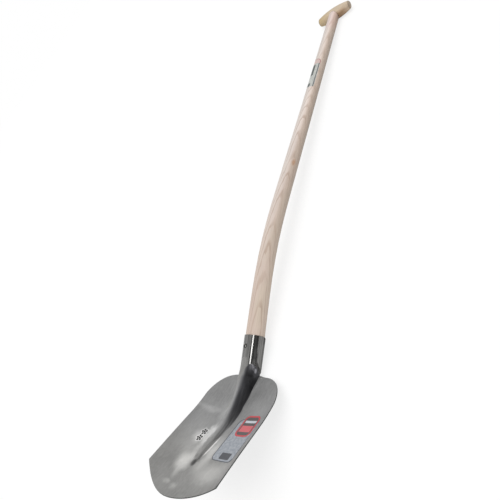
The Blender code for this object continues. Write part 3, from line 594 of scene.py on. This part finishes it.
# The rings come once in each pitch and each arch. They wander over 160 mm and over 34 mm, and round a knot.
knot = spot(tree, rings_place, KNOT_PLACE, KNOT_REACH)
wave = stretched_noise(tree, rings_place, (0.030, 0.160, 0.030), 1.0)
ripple = stretched_noise(tree, rings_place, (0.007, 0.034, 0.007))
arches = through(tree, ring_y, [(arch, -i) for i, arch in enumerate(ARCHES)], handles="AUTO")
phase = add(tree, "Math", (ring_x, RING_PITCH), operation="DIVIDE")
phase = add(tree, "Math", (phase, arches), operation="ADD")
for bend, depth in ((wave, 1.5), (ripple, 0.70), (knot, 1.2)):
    phase = add(tree, "Math", (bend, depth, phase), operation="MULTIPLY_ADD")
phase = add(tree, "Math", (phase, 0.55), operation="ADD")
ring = add(tree, "Math", [phase], operation="FRACT")
strong = stretched_noise(tree, rings_place, (0.022, 0.090, 0.022))
pores = mask(tree, (ring, 0.52, 0.86), (ring, 1.0, 0.92), (strong, 0.30, 0.60, 0.20, 0.66),
             (ring_y, 0.22, 0.42, 1.0, 0.55))

# The colour drifts over 110 mm, and up the stick painted light and shade cross it more and more from side to
# side, with a brighter painted sheen in a band on its lit side.
drift = stretched_noise(tree, rings_place, (0.030, 0.110, 0.030))
side = add(tree, "MapRange", (ring_z, SIDE_REACH, -SIDE_REACH))
painted_side_light = add(tree, "ValToRGB", [side])
stops = painted_side_light.color_ramp.elements
stops.remove(stops[1])
stops[0].color = linear(LIT_TO_SHADED_COLOURS[0][1])
for position, stop_colour in LIT_TO_SHADED_COLOURS[1:]:
    stops.new(position).color = linear(stop_colour)
wood_colour = add(tree, "Mix", {0: add(tree, "MapRange", (drift, 0.35, 0.65), **SMOOTH),
                                6: linear("cfbfae"), 7: linear("d2bfb2")}, data_type="RGBA")
up_stick = add(tree, "MapRange", (ring_y, -0.42, 0.08, 0.0, 0.85), **SMOOTH)
wood_colour = add(tree, "Mix", {0: up_stick, 6: wood_colour, 7: painted_side_light}, data_type="RGBA")
lit_crest = mask(tree, (side, 0.14, 0.30), (side, 0.68, 0.46))
far_side = add(tree, "MapRange", (side, 0.68, 0.92, 1.0, 0.92), **SMOOTH)
high_tone = add(tree, "Math", (lit_crest, 0.14, far_side), operation="MULTIPLY_ADD")
low_tone = add(tree, "MapRange", (side, 0.10, 0.70, 0.94, 1.08), **SMOOTH)
past_bend = add(tree, "MapRange", (ring_y, -0.33, -0.18), **SMOOTH)
side_shading = add(tree, "Mix", {0: past_bend, 2: low_tone, 3: 1.0})
past_knot = add(tree, "MapRange", (ring_y, 0.08, 0.20), **SMOOTH)
side_shading = add(tree, "Mix", {0: past_knot, 2: side_shading, 3: high_tone})
wood_colour = add(tree, "VectorMath", {0: wood_colour, "Scale": side_shading}, operation="SCALE")
wood_colour = layered(tree, wood_colour, [("b59d8b", pores)])

# The wood is a trace pinker near the grip, and brown in the knot.
PINK_TINT = (1.03, 0.962, 0.972, 1.0)
near_grip = add(tree, "MapRange", (ring_y, 0.560, 0.600), **SMOOTH)
wood_colour = add(tree, "Mix", {0: near_grip, 6: wood_colour, 7: PINK_TINT}, data_type="RGBA",
                  blend_type="MULTIPLY")
in_knot = add(tree, "MapRange", (knot, 0.0, 0.8, 0.0, 0.62), **SMOOTH)
wood_colour = layered(tree, wood_colour, [("bd8a60", in_knot)])

# The fibres are drawn 1.3 mm wide, coarser than they are, to show. The joint with the grip is dark.
fibre = stretched_noise(tree, rings_place, (0.0013, 0.040, 0.0013), 3.0)
shade = add(tree, "MapRange", (fibre, 0.3, 0.7, 0.94, 1.05), **SMOOTH)
grip_middle = (0.0, *SHAFT_LINE[-1])
place = add(tree, "TexCoord").outputs["Object"]
off_grip = add(tree, "VectorMath", (place, grip_middle), operation="SUBTRACT")
off_grip = add(tree, "VectorMath", (off_grip, (0.0, 1.0, 1.0)), operation="MULTIPLY")
off_grip = add(tree, "VectorMath", [off_grip], operation="LENGTH")
shade = scaled(tree, shade, 0.60, off_grip, 0.0208, 0.0188)
wood_colour = add(tree, "VectorMath", {0: wood_colour, "Scale": shade}, operation="SCALE")
wood = add(tree, "BsdfPrincipled", {"Base Color": wood_colour, "Roughness": 0.5})
add(tree, "OutputMaterial", {"Surface": wood})
shaft.data.materials.append(sanded_ash)


# The shaft's label. A film of printed polyester is wrapped over the top of the shaft below the grip, and
# glued. It is silver with dark edges and dark blocks, and its rounded upper end is pink.
WRAP_PLACE, WRAP_SIZE, WRAP_LOW_CORNER, WRAP_HIGH_CORNER = (0.0, 0.364), (0.0270, 0.122), 0.001, 0.0130
WRAP_RADIUS, WRAP_HELD_OFF = 0.0168, 0.05
EDGE_LINE = 0.0108
BLOCKS, BLOCK_MIDDLE, BLOCK_WIDTH, BLOCK_CORNER = ((0.352, 0.400), (0.304, 0.318)), -0.0034, 0.0105, 0.003


def above_shaft(x, y):
    """A point off the shaft's top at a place of its unrolled surface, and the way back to its middle."""
    turn = x / WRAP_RADIUS
    way = Vector((math.sin(turn), 0.0, math.cos(turn)))
    return Vector((0.0, y, float(np.interp(y, line_y, line_z)))) + way * WRAP_HELD_OFF, -way


wrap = lay_film("wrap_label", shaft, above_shaft, WRAP_PLACE, WRAP_SIZE, WRAP_LOW_CORNER, WRAP_HIGH_CORNER,
                FILM_LIFT)
# Pale silver polyester film, printed. The eye gets a worn light grey, clouded over 6 to 12 mm, under flat
# inks.
worn_film, tree, place, axes = print_material("worn_film")
print_x, print_y = axes
clouds = stretched_noise(tree, place, (0.006, 0.012, 0.006))
clouds = add(tree, "MapRange", (clouds, 0.35, 0.65), **SMOOTH)
off_line = add(tree, "Math", [print_x], operation="ABSOLUTE")
off_line = add(tree, "Math", (off_line, EDGE_LINE), operation="SUBTRACT")
off_line = add(tree, "Math", [off_line], operation="ABSOLUTE")
edge_lines = add(tree, "MapRange", (off_line, 0.0014, 0.0008), **SMOOTH)
layers = [("cacdc8", clouds), ("6c6c70", edge_lines)]
for low, high in BLOCKS:
    block = outside_box(tree, axes, (BLOCK_MIDDLE, 0.5 * (low + high)), (BLOCK_WIDTH, high - low),
                        BLOCK_CORNER)
    layers.append(("6e7371", add(tree, "MapRange", (block, 0.0003, -0.0003), **SMOOTH)))
layers.append(("ead3cc", add(tree, "MapRange", (print_y, 0.403, 0.405), **SMOOTH)))
outline = outside_box(tree, axes, WRAP_PLACE, WRAP_SIZE, WRAP_HIGH_CORNER)
layers.append(("bd7d7c", mask(tree, (outline, -0.0022, -0.0016), (print_y, 0.401, 0.403))))
ink = layered(tree, linear("dedfda"), layers)
surface = add(tree, "BsdfPrincipled", {"Base Color": ink, "Metallic": 0.2, "Roughness": 0.35})
add(tree, "OutputMaterial", {"Surface": surface})
wrap.data.materials.append(worn_film)


# The T grip. A short bar of harder wood, turned fat in its middle, is bored through and driven onto the
# shaft's tenon. Its end faces are sawn across the grain.
GRIP_END, GRIP_RIM = 0.0530, 0.0533
grip = take_over("t_grip", "turned_grip")
# Turned hardwood, sanded. The eye gets a smooth yellowish wood with faint lines along the bar, drawn 1.6 mm
# wide to show, and darker end grain.
turned_hardwood, tree = material("turned_hardwood")
place = add(tree, "TexCoord").outputs["Object"]
grip_x, _, grip_z = add(tree, "SeparateXYZ", [place]).outputs
along_grip = add(tree, "Math", [grip_x], operation="ABSOLUTE")
under = mask(tree, (grip_z, 0.034, 0.019), (grip_x, 0.002, 0.016), (grip_x, 0.030, 0.050, 1.0, 0.35))
right_end = add(tree, "MapRange", (grip_x, -0.050, 0.010), **SMOOTH)
wood_colour = layered(tree, linear("c3ad88"), (("d6c4ac", right_end), ("b79776", under)))
lines = stretched_noise(tree, place, (0.030, 0.0016, 0.0016), 3.0)
clouds = stretched_noise(tree, place, (0.030, 0.012, 0.012))
shade = mask(tree, (lines, 0.3, 0.7, 0.92, 1.05), (clouds, 0.3, 0.7, 0.94, 1.04))
end_face = add(tree, "MapRange", (along_grip, GRIP_END, GRIP_END + 0.0015), **SMOOTH)
shade = scaled(tree, shade, 0.68, end_face)
off_rim = add(tree, "Math", (along_grip, GRIP_RIM), operation="SUBTRACT")
off_rim = add(tree, "Math", [off_rim], operation="ABSOLUTE")
shade = scaled(tree, shade, 0.80, off_rim, 0.0020, 0.0008)
wood_colour = add(tree, "VectorMath", {0: wood_colour, "Scale": shade}, operation="SCALE")
wood = add(tree, "BsdfPrincipled", {"Base Color": wood_colour, "Roughness": 0.45})
add(tree, "OutputMaterial", {"Surface": wood})
grip.data.materials.append(turned_hardwood)


# The wedge. A slip of hardwood, sawn along the grain, is driven into the saw cut of the shaft's tenon. It
# spreads the tenon, so that the grip can't come off.
wedge = take_over("grip_wedge", "tenon_wedge")
# Sawn hardwood. The eye gets a dark brown with rough lines along it, drawn 0.9 mm wide to show.
sawn_hardwood, tree = material("sawn_hardwood")
lines = stretched_noise(tree, add(tree, "TexCoord").outputs["Object"], (0.0009, 0.012, 0.0009), 3.0)
wood_colour = add(tree, "Mix", {0: add(tree, "MapRange", (lines, 0.3, 0.7), **SMOOTH),
                                6: linear("7c5d40"), 7: linear("977655")}, data_type="RGBA")
wood = add(tree, "BsdfPrincipled", {"Base Color": wood_colour, "Roughness": 0.6})
add(tree, "OutputMaterial", {"Surface": wood})
wedge.data.materials.append(sawn_hardwood)


# The nail. A steel nail with a forged dome for a head is driven through the front of the socket into the
# shaft, and holds the two together.
nail = take_over("socket_nail", "domed_nail")
# Forged steel. The eye gets a dark dome, with a painted highlight on its right and upper sides.
forged_steel, tree = material("forged_steel")
nail_x, nail_y, _ = add(tree, "SeparateXYZ", [add(tree, "TexCoord").outputs["Object"]]).outputs
right_side = add(tree, "MapRange", (nail_x, -0.0022, 0.0002), **SMOOTH)
upper_side = add(tree, "MapRange", (nail_y, -0.4274, -0.4256), **SMOOTH)
painted_highlight = add(tree, "Math", (right_side, upper_side), operation="MAXIMUM")
colour = add(tree, "Mix", {0: painted_highlight, 6: linear("323231"), 7: linear("a6a6a2")}, data_type="RGBA")
steel = add(tree, "BsdfPrincipled", {"Base Color": colour, "Metallic": 1.0, "Roughness": 0.35})
add(tree, "OutputMaterial", {"Surface": steel})
nail.data.materials.append(forged_steel)


# The floor and the surroundings. A plain white floor takes the shovel's soft shadow. The surroundings are
# white to the eye and in gloss, and dimmer as a light, so that the pale wood doesn't clip.
FLOOR_SIZE, FLOOR_GLOW, SURROUNDING_LIGHT = 80.0, 0.76, 0.55
bpy.ops.mesh.primitive_plane_add(size=FLOOR_SIZE, location=(0.0, 0.0, 0.0))
floor = bpy.context.active_object
floor.name = "floor"
# Matt paint. The eye gets plain white with the shadow on it, because to the camera the paint glows.
white_paint, tree = material("white_paint")
paint = add(tree, "BsdfDiffuse", {"Color": linear("e8e8e8")})
thin_paint = add(tree, "BsdfDiffuse", {"Color": linear("898989")})
glow = add(tree, "Emission", {"Color": linear("ffffff"), "Strength": FLOOR_GLOW})
lifted = add(tree, "AddShader", (thin_paint, glow))
seen = add(tree, "MixShader", (add(tree, "LightPath").outputs["Is Camera Ray"], paint, lifted))
add(tree, "OutputMaterial", {"Surface": seen})
floor.data.materials.append(white_paint)

world = bpy.data.worlds.new("white_surroundings")
world.use_nodes = True
bpy.context.scene.world = world
tree = world.node_tree
tree.nodes.clear()
rays = add(tree, "LightPath").outputs
bright = add(tree, "Math", (rays["Is Camera Ray"], rays["Is Glossy Ray"]), operation="MAXIMUM")
bright = add(tree, "Math", (bright, rays["Is Transmission Ray"]), operation="MAXIMUM")
level = add(tree, "MapRange", (bright, 0.0, 1.0, SURROUNDING_LIGHT, 1.0))
sky = add(tree, "Background", {"Color": linear("ffffff"), "Strength": level})
add(tree, "OutputWorld", {"Surface": sky})


# The studio's tent. A large dome of cloth that only gloss sees is dark on one side, so that the socket shows
# a dark band beside its bright ones. It doesn't light the shovel and casts no shadow.
TENT_MIDDLE, TENT_RADIUS, TENT_DARKEST = (0.0, -0.5, 0.0), 3.0, 0.17
# Each dark part begins at a turn and a rise, in degrees, and all of them end at one turn.
DARK_PARTS, DARK_END = ((-32.0, -6.0), (-58.0, 36.0), (-84.0, 54.0)), 102.0


def soft_step(angle, edge, softness=14.0):
    """0 to 1 across an edge, over an angle in degrees."""
    share = np.clip((angle - edge) / softness + 0.5, 0.0, 1.0)
    return share * share * (3.0 - 2.0 * share)


bpy.ops.mesh.primitive_uv_sphere_add(segments=120, ring_count=60, radius=TENT_RADIUS, location=TENT_MIDDLE)
tent = bpy.context.active_object
tent.name = "dark_room"
bpy.ops.object.transform_apply(location=True, rotation=False, scale=False)
tent_points = np.empty(len(tent.data.vertices) * 3)
tent.data.vertices.foreach_get("co", tent_points)
tent_points = tent_points.reshape(-1, 3) - TENT_MIDDLE
turns = np.degrees(np.arctan2(tent_points[:, 0], tent_points[:, 1]))
rises = np.degrees(np.arcsin(tent_points[:, 2] / TENT_RADIUS))
darkness = np.zeros(len(turns))
for from_turn, from_rise in DARK_PARTS:
    part = soft_step(turns, from_turn) * soft_step(rises, from_rise)
    darkness = np.maximum(darkness, part * (1.0 - soft_step(turns, DARK_END, 8.0)))
# The top of the dome has no turn of its own, and is half dark.
darkness[rises > 89.0] = 0.5
tent.data.attributes.new("darkness", "FLOAT", "POINT").data.foreach_set("value", darkness)
# Studio cloth, lit from behind. Gloss gets white on one side, and a grey a sixth as bright on the other.
studio_cloth, tree = material("studio_cloth")
shade = add(tree, "Attribute", attribute_name="darkness").outputs["Fac"]
strength = add(tree, "MapRange", (shade, 0.0, 1.0, 1.0, TENT_DARKEST), **SMOOTH)
cloth = add(tree, "Emission", {"Color": linear("ffffff"), "Strength": strength})
add(tree, "OutputMaterial", {"Surface": cloth})
tent.data.materials.append(studio_cloth)
tent.visible_camera = tent.visible_diffuse = tent.visible_shadow = tent.visible_transmission = False


# The lamps. A soft light from straight above stands for the studio's large ones, and a small lamp on the
# right draws the bright line on the socket.
KEY_POWER, KEY_SPREAD, KEY_LEAN = 1.41, math.radians(50.0), math.radians(-2.0)
LAMP_PLACE, LAMP_AIM, LAMP_SIZE, LAMP_POWER = (0.672, -0.534, 1.40), (0.0, -0.45, 0.06), (0.24, 0.30), 1.45
key_data = bpy.data.lights.new("soft_key", "SUN")
key_data.angle = KEY_SPREAD
key_data.energy = KEY_POWER
key = bpy.data.objects.new("soft_key", key_data)
key.rotation_euler = (0.0, KEY_LEAN, 0.0)
key.visible_glossy = False
bpy.context.scene.collection.objects.link(key)

lamp_data = bpy.data.lights.new("small_lamp", "AREA")
lamp_data.shape = "RECTANGLE"
lamp_data.size, lamp_data.size_y = LAMP_SIZE
lamp_data.energy = LAMP_POWER
lamp = bpy.data.objects.new("small_lamp", lamp_data)
lamp.location = LAMP_PLACE
way = np.array(LAMP_AIM) - np.array(LAMP_PLACE)
lamp.rotation_euler = (math.atan2(math.hypot(way[0], way[1]), -way[2]), 0.0, math.atan2(-way[0], way[1]))
bpy.context.scene.collection.objects.link(lamp)
